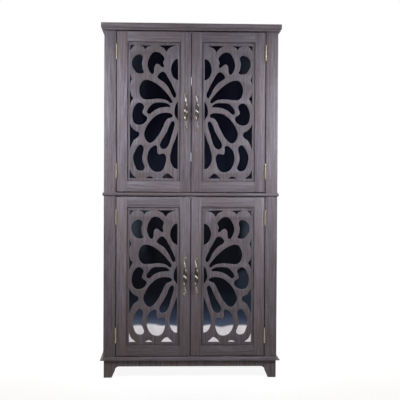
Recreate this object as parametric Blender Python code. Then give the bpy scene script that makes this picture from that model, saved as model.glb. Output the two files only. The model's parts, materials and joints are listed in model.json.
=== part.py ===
"""Tall two-tier wooden cabinet with four mirrored fretwork doors, modelled piece by piece.

The front faces -Y, +X is to the right of someone facing it, and the feet stand on Z = 0.
Every door hangs on two butt hinges and has its own empty on the hinge axis.
"""
import math

import bmesh
import bpy
from mathutils import Matrix, Vector

MM = 0.001
SMOOTH_ANGLE = math.radians(45)  # softer edges than this are shaded smooth

# Carcass
BODY_WIDTH = 785 * MM            # across the two front posts
BODY_DEPTH = 385 * MM            # front of the posts to the back of the back panel
POST_WIDTH = 53.5 * MM
POST_THICK = 20 * MM
SIDE_THICK = 16 * MM
BACK_THICK = 5 * MM
SHELF_THICK = 16 * MM
SHELF_SETBACK = 14 * MM          # shelf front edge behind the doors
DADO_DEPTH = 5 * MM              # grooves in the sides that carry the boards
SEAT_GAP = 0.3 * MM              # glue line between pieces that touch

# Plinth with bracket feet
PLINTH_HEIGHT = 79.5 * MM
PLINTH_THICK = 20 * MM
PLINTH_INSET = 2 * MM
APRON_HEIGHT = 28.8 * MM
FOOT_TOE_WIDTH = 36 * MM
FOOT_SLOPE_RUN = 14 * MM
FOOT_CURVE_RUN = 20 * MM
FOOT_CURVE_RISE = 20 * MM

# Moulded boards
BASE_THICK = 15.5 * MM
BASE_LIP = 4 * MM
BASE_OVERHANG = 14 * MM
BASE_NECK_OVERHANG = 1 * MM
CROWN_THICK = 32 * MM
CROWN_COVE_HEIGHT = 11 * MM
CROWN_OVERHANG = 14.5 * MM
CROWN_NECK_OVERHANG = 9 * MM
CROWN_EDGE_ROUND = 1.5 * MM
WAIST_HEIGHT = 15.5 * MM
WAIST_PROUD = 6 * MM
WAIST_ROUND = 3 * MM
COVE_STEPS = 6

# Doors
LOWER_DOOR_HEIGHT = 719.5 * MM
UPPER_DOOR_HEIGHT = 722 * MM
DOOR_THICK = 20 * MM
DOOR_GAP = 4 * MM                # reveal on every side and between the doors
STILE_WIDTH = 46.5 * MM
RAIL_WIDTH = 46.5 * MM
LIP_THICK = 6 * MM               # wood left in front of the rebate
REBATE_DEPTH = 8 * MM            # rebate that holds the panel and the mirror
FRET_THICK = 6 * MM
FRET_SIDE_BORDER = 12 * MM
FRET_END_BORDER = 15 * MM
MIRROR_THICK = 6 * MM

# Butt hinges
HINGE_LENGTH = 70 * MM
HINGE_INSET = 93 * MM            # hinge middle from the end of the door
BARREL_RADIUS = 3.5 * MM
PIN_RADIUS = 1.6 * MM
PIN_CLEARANCE = 0.4 * MM
LEAF_CLEARANCE = 0.8 * MM        # between the two closed leaves
LEAF_DEPTH = 16 * MM             # leaf behind the face of the door
KNUCKLES = 5
KNUCKLE_GAP = 0.3 * MM
LEAF_ROOT_GAP = 0.6 * MM         # plate edge behind the turning knuckles
ROUND_SIDES = 10

# Pull handles
HANDLE_CENTRES = 160 * MM        # between the two feet of a handle
HANDLE_STANDOFF = 23 * MM        # middle of the grip in front of the door
HANDLE_SWAY = 5 * MM             # the upper stem swings to the left, the lower one to the right
TWIST_LENGTH = 86 * MM           # stretch where two strands are wound on the core of the grip
CROSSING_REACH = 8.5 * MM        # the strands change sides within about this distance of the middle
TWIST_RADIUS = 5.8 * MM          # middle of a strand from the middle of the grip
STRAND_RADIUS = 2.7 * MM
CORE_RADIUS = 4.2 * MM
CORE_END_RADIUS = 1.8 * MM       # the ends of the core lie inside the stems
STEM_RADIUS = 3.0 * MM
TIP_RADIUS = 2.2 * MM
FOOT_RADIUS = 7 * MM
FOOT_FLANGE = 3 * MM
STRAND_RINGS = 33
STRAND_SIDES = 6
CORE_RINGS = 17
STEM_RINGS = 9
STEM_SIDES = 8

# Magnetic catches
CATCH_WIDTH = 46 * MM
CATCH_DEPTH = 14 * MM
CATCH_HEIGHT = 12 * MM


def grip_centre(height):
    """Middle of the grip at a height: the stems sway sideways and curve back into the feet."""
    half = HANDLE_CENTRES / 2
    foot = SEAT_GAP + FOOT_FLANGE / 2
    along = max(0, (abs(height) - TWIST_LENGTH / 2) / (half - TWIST_LENGTH / 2))
    sway = -math.copysign(HANDLE_SWAY, height) * math.sin(math.pi * along ** 2) ** 2
    lift = (HANDLE_STANDOFF - foot) * (1 - (height / half) ** 6)
    return Vector((sway, -foot - lift, height))


def tube_rings(path, radii, sides):
    """Round sections square to a path that runs mainly up or down."""
    rings = []
    for k, point in enumerate(path):
        ahead = path[min(k + 1, len(path) - 1)]
        behind = path[max(k - 1, 0)]
        along = (ahead - behind).normalized()
        across = along.cross(Vector((0, 1, 0))).normalized()
        outward = across.cross(along)
        ring = []
        for side in range(sides):
            angle = 2 * math.pi * side / sides
            ring.append(point + radii[k] * (across * math.cos(angle) + outward * math.sin(angle)))
        rings.append(ring)
    return rings


def strand_rings(phase):
    """One strand of the twist: it changes sides at the middle and comes halfway round by each stem."""
    path = []
    for k in range(STRAND_RINGS):
        share = 2 * k / (STRAND_RINGS - 1) - 1
        height = share * TWIST_LENGTH / 2
        turn = phase - math.pi / 2 * (math.tanh(height / CROSSING_REACH) + share * abs(share))
        spread = TWIST_RADIUS * (1 - share ** 6)
        path.append(grip_centre(height) + spread * Vector((math.cos(turn), math.sin(turn), 0)))
    return tube_rings(path, [STRAND_RADIUS] * STRAND_RINGS, STRAND_SIDES)


def core_rings():
    """Core that the strands are wound on, drawn in at both ends."""
    path = []
    radii = []
    for k in range(CORE_RINGS):
        share = 2 * k / (CORE_RINGS - 1) - 1
        path.append(grip_centre(share * TWIST_LENGTH / 2))
        radii.append(CORE_RADIUS + (CORE_END_RADIUS - CORE_RADIUS) * share ** 8)
    return tube_rings(path, radii, STEM_SIDES)


def stem_rings(end):
    """Stem from where the strands meet to the foot; end is 1 above and -1 below."""
    path = []
    radii = []
    root = TWIST_LENGTH / 2 - STEM_RADIUS
    for k in range(STEM_RINGS):
        share = k / (STEM_RINGS - 1)
        path.append(grip_centre(end * (root + share * (HANDLE_CENTRES / 2 - root))))
        radii.append(STEM_RADIUS + (TIP_RADIUS - STEM_RADIUS) * share ** 2)
    return tube_rings(path, radii, STEM_SIDES)


def grip_tubes():
    """Sections of the five tubes that make up a grip."""
    strands = [strand_rings(-math.pi / 2), strand_rings(math.pi / 2)]
    return [stem_rings(-1), stem_rings(1), core_rings()] + strands


# Levels and planes worked out from the sizes above
BASE_TOP = PLINTH_HEIGHT + BASE_THICK
LOWER_DOOR_BOTTOM = BASE_TOP + DOOR_GAP
WAIST_BOTTOM = LOWER_DOOR_BOTTOM + LOWER_DOOR_HEIGHT + DOOR_GAP
WAIST_TOP = WAIST_BOTTOM + WAIST_HEIGHT
UPPER_DOOR_BOTTOM = WAIST_TOP + DOOR_GAP
CROWN_BOTTOM = UPPER_DOOR_BOTTOM + UPPER_DOOR_HEIGHT + DOOR_GAP

HALF_WIDTH = BODY_WIDTH / 2
HALF_OPENING = HALF_WIDTH - POST_WIDTH
DOOR_WIDTH = HALF_OPENING - DOOR_GAP - DOOR_GAP / 2   # half of the middle gap is on each side
GRIP_REACH = max(-point.y for tube in grip_tubes() for ring in tube for point in ring)
FRONT_REACH = max(GRIP_REACH, CROWN_OVERHANG, BASE_OVERHANG)
FACE = FRONT_REACH / 2 - BODY_DEPTH / 2
BACK = FACE + BODY_DEPTH
POST_BACK = FACE + POST_THICK
CARCASS_BACK = BACK - BACK_THICK - SEAT_GAP
SIDE_INNER = HALF_WIDTH - SIDE_THICK
BARREL_FORWARD = BARREL_RADIUS + SEAT_GAP      # hinge axis in front of the face
HINGE_X = HALF_OPENING - DOOR_GAP / 2
HINGE_Y = FACE - BARREL_FORWARD

# Openings of the fretwork, drawn by hand on a field of this size from its lower corner at the
# hinge side. Curves run smoothly through the points, and CORNER marks a sharp one.
FIELD_WIDTH = 216
FIELD_HEIGHT = 598
LONG_CHORD = 14
CORNER = True
OPENINGS = {
    "top_corner": [(0, 598, CORNER), (20, 598, CORNER), (9, 588), (0, 574, CORNER)],
    "top_small_spandrel": [
        (44, 598, CORNER), (94, 598, CORNER), (76, 591), (66.5, 581, CORNER), (59, 592)],
    "top_large_spandrel": [
        (129, 598, CORNER), (203, 598, CORNER), (176.5, 587), (163.5, 570, CORNER), (151.5, 585.5)],
    "upper_half_moon": [
        (41, 555.5), (52, 552.5), (57, 543), (52.5, 518), (57, 488), (62, 477), (56, 472),
        (44, 471), (29, 475.5), (14, 495), (8, 515.5), (12, 535), (24, 549)],
    "hooked_petal": [
        (113, 569), (131, 566), (151.5, 547), (154, 538), (148.5, 521), (152, 507), (148, 500),
        (140, 504), (127, 514.5), (118, 514.5), (110, 504), (107.5, 480), (103, 470), (96, 470.5),
        (86.5, 483), (78.5, 510), (85, 538), (100, 563)],
    "upper_edge_half": [
        (216, 537, CORNER), (210, 538), (196, 526.5), (187, 507), (184.5, 488), (189, 469),
        (199, 451.5), (216, 442, CORNER)],
    "upper_sliver": [
        (0, 465.5, CORNER), (3, 455.5), (8.5, 445.5, CORNER), (3, 435.5), (0, 425.5, CORNER)],
    "upper_slender_drop": [
        (146, 480), (156, 476.5), (171, 454), (190, 418.5), (204, 388), (207.5, 374), (200.5, 363),
        (193, 371), (177, 402.5), (155.5, 430.5), (131, 447), (124, 455), (129, 468), (137, 476)],
    "large_teardrop": [
        (74, 442.5), (90, 440), (118, 426), (146, 403), (172, 375), (189, 351), (190, 342),
        (183, 339.5), (168, 349.5), (154, 355.5), (125, 358), (78, 354.5), (60, 357.5), (46.5, 373),
        (41.5, 399), (47, 422), (59, 438)],
    "middle_sliver": [
        (0, 391, CORNER), (4.5, 373), (15, 360, CORNER), (6, 346), (0, 329, CORNER)],
    "middle_kidney": [
        (41, 339.5), (55, 335), (64, 321), (58, 304), (57, 292), (65, 283.5), (76, 275), (76, 262),
        (62, 246.5), (42, 240), (22, 247), (12.5, 266), (10.5, 288), (16, 312), (28, 332)],
    "slender_crescent": [
        (183, 321.5, CORNER), (175, 332.5), (160, 339), (130, 340.5), (107, 337), (89, 322),
        (77.5, 300), (82, 291), (89, 289.5), (109, 305), (130, 316), (156, 321)],
    "middle_edge_half": [
        (216, 344, CORNER), (207, 331), (201.5, 308), (203, 284), (216, 264, CORNER)],
    "lower_leaf": [
        (162, 295), (180, 293), (192, 284), (189, 276), (172, 270), (160, 256), (149, 232),
        (132, 199), (110, 169.5), (92, 159.5), (76, 168), (65, 193), (69, 218), (90, 255),
        (117, 281), (141, 292.5)],
    "lower_slender_drop": [
        (194, 257), (201, 247), (196.5, 222), (186, 186), (177, 156), (165, 137.5), (150, 132),
        (138, 140), (137.5, 157), (150, 180), (168, 211), (182, 245)],
    "edge_spade": [
        (0, 243, CORNER), (6, 231), (22, 214), (37, 207.5), (41, 195), (35, 184), (19, 172),
        (8, 152), (0, 131, CORNER)],
    "lower_edge_leaf": [
        (216, 207, CORNER), (206, 176), (192, 140), (183, 103), (184, 78), (193, 56), (205, 44.5),
        (216, 42, CORNER)],
    "lower_kidney": [
        (47, 150), (57, 145.5), (62, 131), (56, 95), (58, 73), (66.5, 48), (60, 36), (45, 34),
        (31, 41), (20, 67), (15, 93), (22, 118), (36, 142)],
    "notched_petal": [
        (115, 147), (122.5, 143), (123, 124), (129.5, 107.5), (150, 110.5), (162.5, 99), (160, 64),
        (147, 36), (126, 28.5), (101, 37), (84, 63), (79, 94), (88, 126), (103, 142)],
    "bottom_corner": [(0, 0, CORNER), (0, 39, CORNER), (9, 18), (30, 0, CORNER)],
    "bottom_small_spandrel": [(72, 0, CORNER), (80, 5), (89, 7), (98, 5), (106, 0, CORNER)],
    "bottom_large_spandrel": [
        (144, 0, CORNER), (156, 11), (166, 20), (175, 20), (184, 11.5), (197, 0, CORNER)],
}


def clear_scene():
    for old in list(bpy.data.objects):
        bpy.data.objects.remove(old)


def make_material(name, colour, roughness, metallic=0.0):
    material = bpy.data.materials.new(name)
    material.use_nodes = True
    shader = material.node_tree.nodes["Principled BSDF"]
    shader.inputs["Base Color"].default_value = (*colour, 1.0)
    shader.inputs["Roughness"].default_value = roughness
    shader.inputs["Metallic"].default_value = metallic
    return material


def add_piece(name, bm, material, parent, smooth_angle=None):
    """Close a mesh into a named object under its parent empty."""
    bmesh.ops.recalc_face_normals(bm, faces=bm.faces)
    mesh = bpy.data.meshes.new(name)
    bm.to_mesh(mesh)
    bm.free()
    mesh.materials.append(material)
    if smooth_angle:
        mesh.shade_smooth()
        mesh.set_sharp_from_angle(angle=smooth_angle)
    piece = bpy.data.objects.new(name, mesh)
    bpy.context.collection.objects.link(piece)
    piece.parent = parent
    return piece


def add_empty(name, location, parent=None):
    empty = bpy.data.objects.new(name, None)
    empty.location = location
    empty.parent = parent
    bpy.context.collection.objects.link(empty)
    return empty


def combine(piece, tool, operation):
    """Apply one Boolean to a piece and take the tool away."""
    modifier = piece.modifiers.new(operation, "BOOLEAN")
    modifier.operation = operation
    modifier.object = tool
    modifier.solver = "EXACT"
    with bpy.context.temp_override(object=piece, active_object=piece, selected_objects=[piece]):
        bpy.ops.object.modifier_apply(modifier=modifier.name)
    bpy.data.objects.remove(tool)


def box_mesh(low, high):
    bm = bmesh.new()
    bmesh.ops.create_cube(bm, size=1.0)
    low = Vector(low)
    size = Vector(high) - low
    for vert in bm.verts:
        vert.co = low + (vert.co + Vector((0.5, 0.5, 0.5))) * size
    return bm


def prism_mesh(outline, place, start, end):
    """Extrude a closed outline; place(a, b, depth) puts one of its points in space."""
    bm = bmesh.new()
    face = bm.faces.new([bm.verts.new(place(a, b, start)) for a, b in outline])
    extruded = bmesh.ops.extrude_face_region(bm, geom=[face])
    shift = Vector(place(0, 0, end)) - Vector(place(0, 0, start))
    moved = [part for part in extruded["geom"] if isinstance(part, bmesh.types.BMVert)]
    bmesh.ops.translate(bm, verts=moved, vec=shift)
    return bm


def stacked_mesh(rings):
    """Join rings of equal length, bottom to top, and close both ends."""
    bm = bmesh.new()
    loops = [[bm.verts.new(point) for point in ring] for ring in rings]
    count = len(loops[0])
    for lower, upper in zip(loops, loops[1:]):
        for i in range(count):
            j = (i + 1) % count
            bm.faces.new((lower[i], lower[j], upper[j], upper[i]))
    bm.faces.new(loops[0])
    bm.faces.new(loops[-1])
    return bm


def turned_mesh(profile, sides, closed_loop=False):
    """Turn a (radius, height) profile about Z, either end to end or as a closed ring."""
    bm = bmesh.new()
    rings = []
    for radius, height in profile:
        turns = [2 * math.pi * k / sides for k in range(sides)]
        rings.append([bm.verts.new((radius * math.cos(t), radius * math.sin(t), height)) for t in turns])
    pairs = list(zip(rings, rings[1:]))
    if closed_loop:
        pairs.append((rings[-1], rings[0]))
    for lower, upper in pairs:
        for i in range(sides):
            j = (i + 1) % sides
            bm.faces.new((lower[i], lower[j], upper[j], upper[i]))
    if not closed_loop:
        bm.faces.new(rings[0])
        bm.faces.new(rings[-1])
    return bm


def plan(x, y, z):
    return (x, y, z)


def front_view(x, z, y):
    return (x, y, z)


def side_view(y, z, x):
    return (x, y, z)


def moulded_board(name, levels, material, parent):
    """A board whose front and sides follow a moulding; levels are (height, overhang)."""
    rings = []
    for height, overhang in levels:
        x = HALF_WIDTH + overhang
        y = FACE - overhang
        rings.append([(-x, y, height), (x, y, height), (x, BACK, height), (-x, BACK, height)])
    return add_piece(name, stacked_mesh(rings), material, parent)


def cove(low, neck, high, lip):
    """Points of a quarter hollow from (height low, overhang neck) out to (high, lip)."""
    points = []
    for k in range(COVE_STEPS + 1):
        turn = 0.5 * math.pi * k / COVE_STEPS
        height = low + (high - low) * math.sin(turn)
        overhang = neck + (lip - neck) * (1 - math.cos(turn))
        points.append((height, overhang))
    return points


def crown_levels():
    levels = cove(CROWN_BOTTOM, CROWN_NECK_OVERHANG, CROWN_BOTTOM + CROWN_COVE_HEIGHT, CROWN_OVERHANG)
    top = CROWN_BOTTOM + CROWN_THICK
    levels.append((top - CROWN_EDGE_ROUND, CROWN_OVERHANG))
    levels.append((top, CROWN_OVERHANG - CROWN_EDGE_ROUND))
    return levels


def base_levels():
    hollow = cove(BASE_TOP, BASE_NECK_OVERHANG, PLINTH_HEIGHT + BASE_LIP, BASE_OVERHANG)
    return [(PLINTH_HEIGHT, BASE_OVERHANG)] + hollow[::-1]


def waist_bead(material, parent):
    """A half-round strip that runs round the front and both sides between the tiers."""
    levels = [
        (WAIST_BOTTOM, WAIST_PROUD - WAIST_ROUND),
        (WAIST_BOTTOM + WAIST_ROUND, WAIST_PROUD),
        (WAIST_TOP - WAIST_ROUND, WAIST_PROUD),
        (WAIST_TOP, WAIST_PROUD - WAIST_ROUND),
    ]
    inner_x = HALF_WIDTH + SEAT_GAP
    inner_y = FACE - SEAT_GAP
    rings = []
    for height, proud in levels:
        x = HALF_WIDTH + proud
        y = FACE - proud
        corners = [(-x, BACK), (-x, y), (x, y), (x, BACK)]
        corners += [(inner_x, BACK), (inner_x, inner_y), (-inner_x, inner_y), (-inner_x, BACK)]
        rings.append([(cx, cy, height) for cx, cy in corners])
    return add_piece("waist_bead", stacked_mesh(rings), material, parent)


def foot_curve():
    """Inner edge of a bracket foot as (distance from the corner, height), bottom to top."""
    arch = PLINTH_HEIGHT - APRON_HEIGHT
    points = [(FOOT_TOE_WIDTH, 0)]
    heel = FOOT_TOE_WIDTH + FOOT_SLOPE_RUN
    for k in range(COVE_STEPS + 1):
        turn = 0.5 * math.pi * k / COVE_STEPS
        across = heel + FOOT_CURVE_RUN * (1 - math.cos(turn))
        points.append((across, arch - FOOT_CURVE_RISE * (1 - math.sin(turn))))
    return points


def apron_outline(start, end):
    """A plinth board seen square on: a foot at each end and an arch between them."""
    top = PLINTH_HEIGHT - SEAT_GAP
    near = [(start + across, height) for across, height in foot_curve()]
    far = [(end - across, height) for across, height in foot_curve()]
    return [(start, top), (start, 0)] + near + far[::-1] + [(end, 0), (end, top)]


def build_plinth(material, parent):
    x = HALF_WIDTH - PLINTH_INSET
    front = FACE + PLINTH_INSET
    behind = front + PLINTH_THICK
    add_piece("plinth_front", prism_mesh(apron_outline(-x, x), front_view, front, behind), material, parent)
    outline = apron_outline(behind + SEAT_GAP, BACK - PLINTH_INSET)
    for side, name in ((-1, "plinth_left"), (1, "plinth_right")):
        bm = prism_mesh(outline, side_view, side * x, side * (x - PLINTH_THICK))
        add_piece(name, bm, material, parent)


def shelf_levels():
    """Bottom height of each shelf, in the middle of its tier."""
    lower = (BASE_TOP + WAIST_BOTTOM - SHELF_THICK) / 2
    upper = (WAIST_TOP + CROWN_BOTTOM - SHELF_THICK) / 2
    return {"lower_shelf": lower, "upper_shelf": upper}


def build_sides(material, parent):
    """Side panels with one groove for each shelf and one for the middle board."""
    grooves = [(z, z + SHELF_THICK) for z in shelf_levels().values()]
    grooves.append((WAIST_BOTTOM, WAIST_TOP))
    inner = [(SIDE_INNER, BASE_TOP + SEAT_GAP)]
    for low, high in sorted(grooves):
        inner.append((SIDE_INNER, low - SEAT_GAP))
        inner.append((SIDE_INNER + DADO_DEPTH, low - SEAT_GAP))
        inner.append((SIDE_INNER + DADO_DEPTH, high + SEAT_GAP))
        inner.append((SIDE_INNER, high + SEAT_GAP))
    inner.append((SIDE_INNER, CROWN_BOTTOM - SEAT_GAP))
    outline = inner + [(HALF_WIDTH, CROWN_BOTTOM - SEAT_GAP), (HALF_WIDTH, BASE_TOP + SEAT_GAP)]
    for side, name in ((-1, "side_left"), (1, "side_right")):
        mirrored = [(side * x, z) for x, z in outline]
        bm = prism_mesh(mirrored, front_view, POST_BACK + SEAT_GAP, CARCASS_BACK)
        add_piece(name, bm, material, parent)


def build_posts(material, parent):
    for side, name in ((-1, "post_left"), (1, "post_right")):
        x_pair = sorted((side * HALF_OPENING, side * HALF_WIDTH))
        low = (x_pair[0], FACE, BASE_TOP + SEAT_GAP)
        high = (x_pair[1], POST_BACK, CROWN_BOTTOM - SEAT_GAP)
        add_piece(name, box_mesh(low, high), material, parent)


def build_boards(material, parent):
    housed = SIDE_INNER + DADO_DEPTH - SEAT_GAP
    between = HALF_OPENING - SEAT_GAP
    wide_from = POST_BACK + SEAT_GAP
    middle = [
        (-between, FACE), (between, FACE), (between, wide_from), (housed, wide_from),
        (housed, CARCASS_BACK), (-housed, CARCASS_BACK), (-housed, wide_from), (-between, wide_from),
    ]
    add_piece("middle_board", prism_mesh(middle, plan, WAIST_BOTTOM, WAIST_TOP), material, parent)
    shelf_front = FACE + DOOR_THICK + SHELF_SETBACK
    for name, z in shelf_levels().items():
        low = (-housed, shelf_front, z)
        high = (housed, CARCASS_BACK, z + SHELF_THICK)
        add_piece(name, box_mesh(low, high), material, parent)
    low = (-HALF_WIDTH, BACK - BACK_THICK, BASE_TOP + SEAT_GAP)
    high = (HALF_WIDTH, BACK, CROWN_BOTTOM - SEAT_GAP)
    add_piece("back_panel", box_mesh(low, high), material, parent)


def build_catches(material, parent):
    """One double magnetic catch under the top and one under the middle board."""
    front = FACE + DOOR_THICK + SEAT_GAP
    for name, ceiling in (("upper_catch", CROWN_BOTTOM), ("lower_catch", WAIST_BOTTOM)):
        top = ceiling - SEAT_GAP
        low = (-CATCH_WIDTH / 2, front, top - CATCH_HEIGHT)
        high = (CATCH_WIDTH / 2, front + CATCH_DEPTH, top)
        add_piece(name, box_mesh(low, high), material, parent)


def knuckle_span(index):
    """Bottom and top of one knuckle along the barrel."""
    length = (HINGE_LENGTH - KNUCKLE_GAP * (KNUCKLES - 1)) / KNUCKLES
    bottom = index * (length + KNUCKLE_GAP)
    return bottom, bottom + length


def leaf_outline(knuckles):
    """Comb-shaped plate in (depth, height): a finger reaches each of its own knuckles."""
    root = BARREL_RADIUS + LEAF_ROOT_GAP
    reach = (PIN_RADIUS + PIN_CLEARANCE + BARREL_RADIUS) / 2 - KNUCKLE_GAP
    outline = [(BARREL_FORWARD + LEAF_DEPTH, HINGE_LENGTH), (BARREL_FORWARD + LEAF_DEPTH, 0), (root, 0)]
    for index in knuckles:
        bottom, top = knuckle_span(index)
        low = bottom + KNUCKLE_GAP
        high = top - KNUCKLE_GAP
        outline += [(root, low), (reach, low), (reach, high), (root, high)]
    outline.append((root, HINGE_LENGTH))
    return outline


def leaf_plate(knuckles, outward):
    """Plate of one leaf; outward is the X sign of the side of the gap that it lies on."""
    outer = outward * (DOOR_GAP / 2 - SEAT_GAP)
    inner = outward * LEAF_CLEARANCE / 2
    return prism_mesh(leaf_outline(knuckles), side_view, inner, outer)


def post_leaf(name, outward, material, parent, bottom):
    """Leaf on the post, with the odd knuckles and the pin in one piece."""
    own = range(0, KNUCKLES, 2)
    profile = []
    for index in own:
        low, high = knuckle_span(index)
        if profile:
            profile.append((PIN_RADIUS, low))
        profile += [(BARREL_RADIUS, low), (BARREL_RADIUS, high)]
        if index != own[-1]:
            profile.append((PIN_RADIUS, high))
    leaf = add_piece(name, turned_mesh(profile, ROUND_SIDES), material, parent, SMOOTH_ANGLE)
    plate = add_piece(name + "_plate", leaf_plate(own, outward), material, parent)
    combine(leaf, plate, "UNION")
    leaf.location = (0, 0, bottom)
    return leaf


def door_leaf(name, outward, material, parent, bottom):
    """Leaf on the door, with the even knuckles bored for the pin."""
    own = range(1, KNUCKLES, 2)
    bore = PIN_RADIUS + PIN_CLEARANCE
    leaf = add_piece(name, leaf_plate(own, -outward), material, parent, SMOOTH_ANGLE)
    for index in own:
        low, high = knuckle_span(index)
        ring = [(BARREL_RADIUS, low), (BARREL_RADIUS, high), (bore, high), (bore, low)]
        knuckle = add_piece(name + "_knuckle", turned_mesh(ring, ROUND_SIDES, True), material, parent)
        combine(leaf, knuckle, "UNION")
    leaf.location = (0, 0, bottom)
    return leaf


def smooth_outline(points):
    """Closed curve through hand-placed points, straight between two corners."""
    count = len(points)
    places = [Vector(point[:2]) for point in points]
    sharp = [len(point) > 2 for point in points]
    outline = []
    for i in range(count):
        here = places[i]
        ahead = places[(i + 1) % count]
        chord = ahead - here
        outline.append(here)
        if sharp[i] and sharp[(i + 1) % count]:
            continue
        if chord.length < LONG_CHORD:
            continue
        leave = chord.copy()
        if not sharp[i]:
            leave = (ahead - places[i - 1]).normalized() * chord.length
        arrive = chord.copy()
        if not sharp[(i + 1) % count]:
            arrive = (places[(i + 2) % count] - here).normalized() * chord.length
        outline.append((here + ahead) / 2 + (leave - arrive) / 8)
    return outline


def fretwork_mesh(field_low, field_high, plate_low, plate_high, mirror_x):
    """Pierced plate; all corners are (across, height), across grows away from the hinge."""
    front = BARREL_FORWARD + LIP_THICK + SEAT_GAP
    bm = bmesh.new()

    def add_loop(points):
        verts = [bm.verts.new((mirror_x * across, front, height)) for across, height in points]
        for i, vert in enumerate(verts):
            bm.edges.new((vert, verts[(i + 1) % len(verts)]))

    add_loop([plate_low, (plate_high[0], plate_low[1]), plate_high, (plate_low[0], plate_high[1])])
    scale_across = (field_high[0] - field_low[0]) / FIELD_WIDTH
    scale_up = (field_high[1] - field_low[1]) / FIELD_HEIGHT
    for points in OPENINGS.values():
        outline = smooth_outline(points)
        add_loop([(field_low[0] + u * scale_across, field_low[1] + v * scale_up) for u, v in outline])
    bmesh.ops.triangle_fill(bm, use_beauty=True, use_dissolve=False, edges=bm.edges[:])
    extruded = bmesh.ops.extrude_face_region(bm, geom=bm.faces[:])
    moved = [part for part in extruded["geom"] if isinstance(part, bmesh.types.BMVert)]
    bmesh.ops.translate(bm, verts=moved, vec=(0, FRET_THICK, 0))
    return bm


def build_handle(name, across, middle, material, parent):
    """A pull of two strands wound on a core between swaying stems, on two feet on the face of the door."""
    tubes = [stacked_mesh(rings) for rings in grip_tubes()]
    handle = add_piece(name, tubes[0], material, parent, SMOOTH_ANGLE)
    for number, tube in enumerate(tubes[1:]):
        combine(handle, add_piece(f"{name}_tube_{number}", tube, material, parent), "UNION")
    face = -SEAT_GAP - FOOT_FLANGE
    shoulder = -SEAT_GAP - FOOT_FLANGE / 2
    profile = [(FOOT_RADIUS, -SEAT_GAP), (FOOT_RADIUS, shoulder), (STEM_RADIUS, face)]
    for height in (-HANDLE_CENTRES / 2, HANDLE_CENTRES / 2):
        foot_mesh = turned_mesh(profile, ROUND_SIDES)
        upright = Matrix.Translation((0, 0, height)) @ Matrix.Rotation(math.radians(-90), 4, "X")
        bmesh.ops.transform(foot_mesh, matrix=upright, verts=foot_mesh.verts)
        combine(handle, add_piece(name + "_foot", foot_mesh, material, parent), "UNION")
    handle.location = (across, BARREL_FORWARD, middle)
    return handle


def build_door(tier, side, height, bottom, finishes, carcass):
    """One door on its hinge empty; across grows from the hinge axis to the meeting edge."""
    name = f"{tier}_{'left' if side < 0 else 'right'}"
    inward = -side
    hinge = add_empty(f"{name}_door", (side * HINGE_X, HINGE_Y, bottom), carcass)
    wood = finishes["wood"]
    brass = finishes["brass"]
    front = BARREL_FORWARD
    behind = front + DOOR_THICK
    rebate_front = front + LIP_THICK
    hinge_edge = DOOR_GAP / 2
    meeting_edge = hinge_edge + DOOR_WIDTH
    recess = (hinge_edge + STILE_WIDTH, meeting_edge - STILE_WIDTH)
    recess_z = (RAIL_WIDTH, height - RAIL_WIDTH)

    def door_box(across, depth, levels):
        x_pair = sorted((inward * across[0], inward * across[1]))
        return box_mesh((x_pair[0], depth[0], levels[0]), (x_pair[1], depth[1], levels[1]))

    past = REBATE_DEPTH
    rebate_levels = (recess_z[0] - REBATE_DEPTH, recess_z[1] + REBATE_DEPTH)
    stiles = (
        ("hinge_stile", (hinge_edge, recess[0]), (recess[0] - REBATE_DEPTH, recess[0] + past)),
        ("meeting_stile", (recess[1], meeting_edge), (recess[1] - past, recess[1] + REBATE_DEPTH)),
    )
    for label, across, rebate in stiles:
        stile = add_piece(f"{name}_{label}", door_box(across, (front, behind), (0, height)), wood, hinge)
        cutter = door_box(rebate, (rebate_front, behind + past), rebate_levels)
        combine(stile, add_piece(f"{name}_{label}_rebate", cutter, wood, hinge), "DIFFERENCE")

    rails = (("bottom_rail", 0, recess_z[0], 1), ("top_rail", height, recess_z[1], -1))
    for label, outer, inner, up in rails:
        shoulder = inner - up * REBATE_DEPTH
        outline = [
            (front, outer), (behind, outer), (behind, shoulder),
            (rebate_front, shoulder), (rebate_front, inner), (front, inner),
        ]
        span = (inward * (recess[0] + SEAT_GAP), inward * (recess[1] - SEAT_GAP))
        bm = prism_mesh(outline, side_view, span[0], span[1])
        add_piece(f"{name}_{label}", bm, wood, hinge)

    held = REBATE_DEPTH - SEAT_GAP
    plate_low = (recess[0] - held, recess_z[0] - held)
    plate_high = (recess[1] + held, recess_z[1] + held)
    field_low = (recess[0] + FRET_SIDE_BORDER, recess_z[0] + FRET_END_BORDER)
    field_high = (recess[1] - FRET_SIDE_BORDER, recess_z[1] - FRET_END_BORDER)
    fret = fretwork_mesh(field_low, field_high, plate_low, plate_high, inward)
    add_piece(f"{name}_fretwork", fret, finishes["fretwork"], hinge)
    glass = rebate_front + SEAT_GAP + FRET_THICK + SEAT_GAP
    across = (plate_low[0], plate_high[0])
    mirror = door_box(across, (glass, glass + MIRROR_THICK), (plate_low[1], plate_high[1]))
    add_piece(f"{name}_mirror", mirror, finishes["mirror"], hinge)

    grip_across = inward * (meeting_edge - STILE_WIDTH / 2)
    build_handle(f"{name}_handle", grip_across, height / 2, brass, hinge)
    for label, centre in (("top_hinge", height - HINGE_INSET), ("bottom_hinge", HINGE_INSET)):
        low = centre - HINGE_LENGTH / 2
        door_leaf(f"{name}_{label}_door_leaf", side, brass, hinge, low)
        fixed = add_empty(f"{name}_{label}_axis", (side * HINGE_X, HINGE_Y, bottom), carcass)
        post_leaf(f"{name}_{label}_post_leaf", side, brass, fixed, low)


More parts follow.
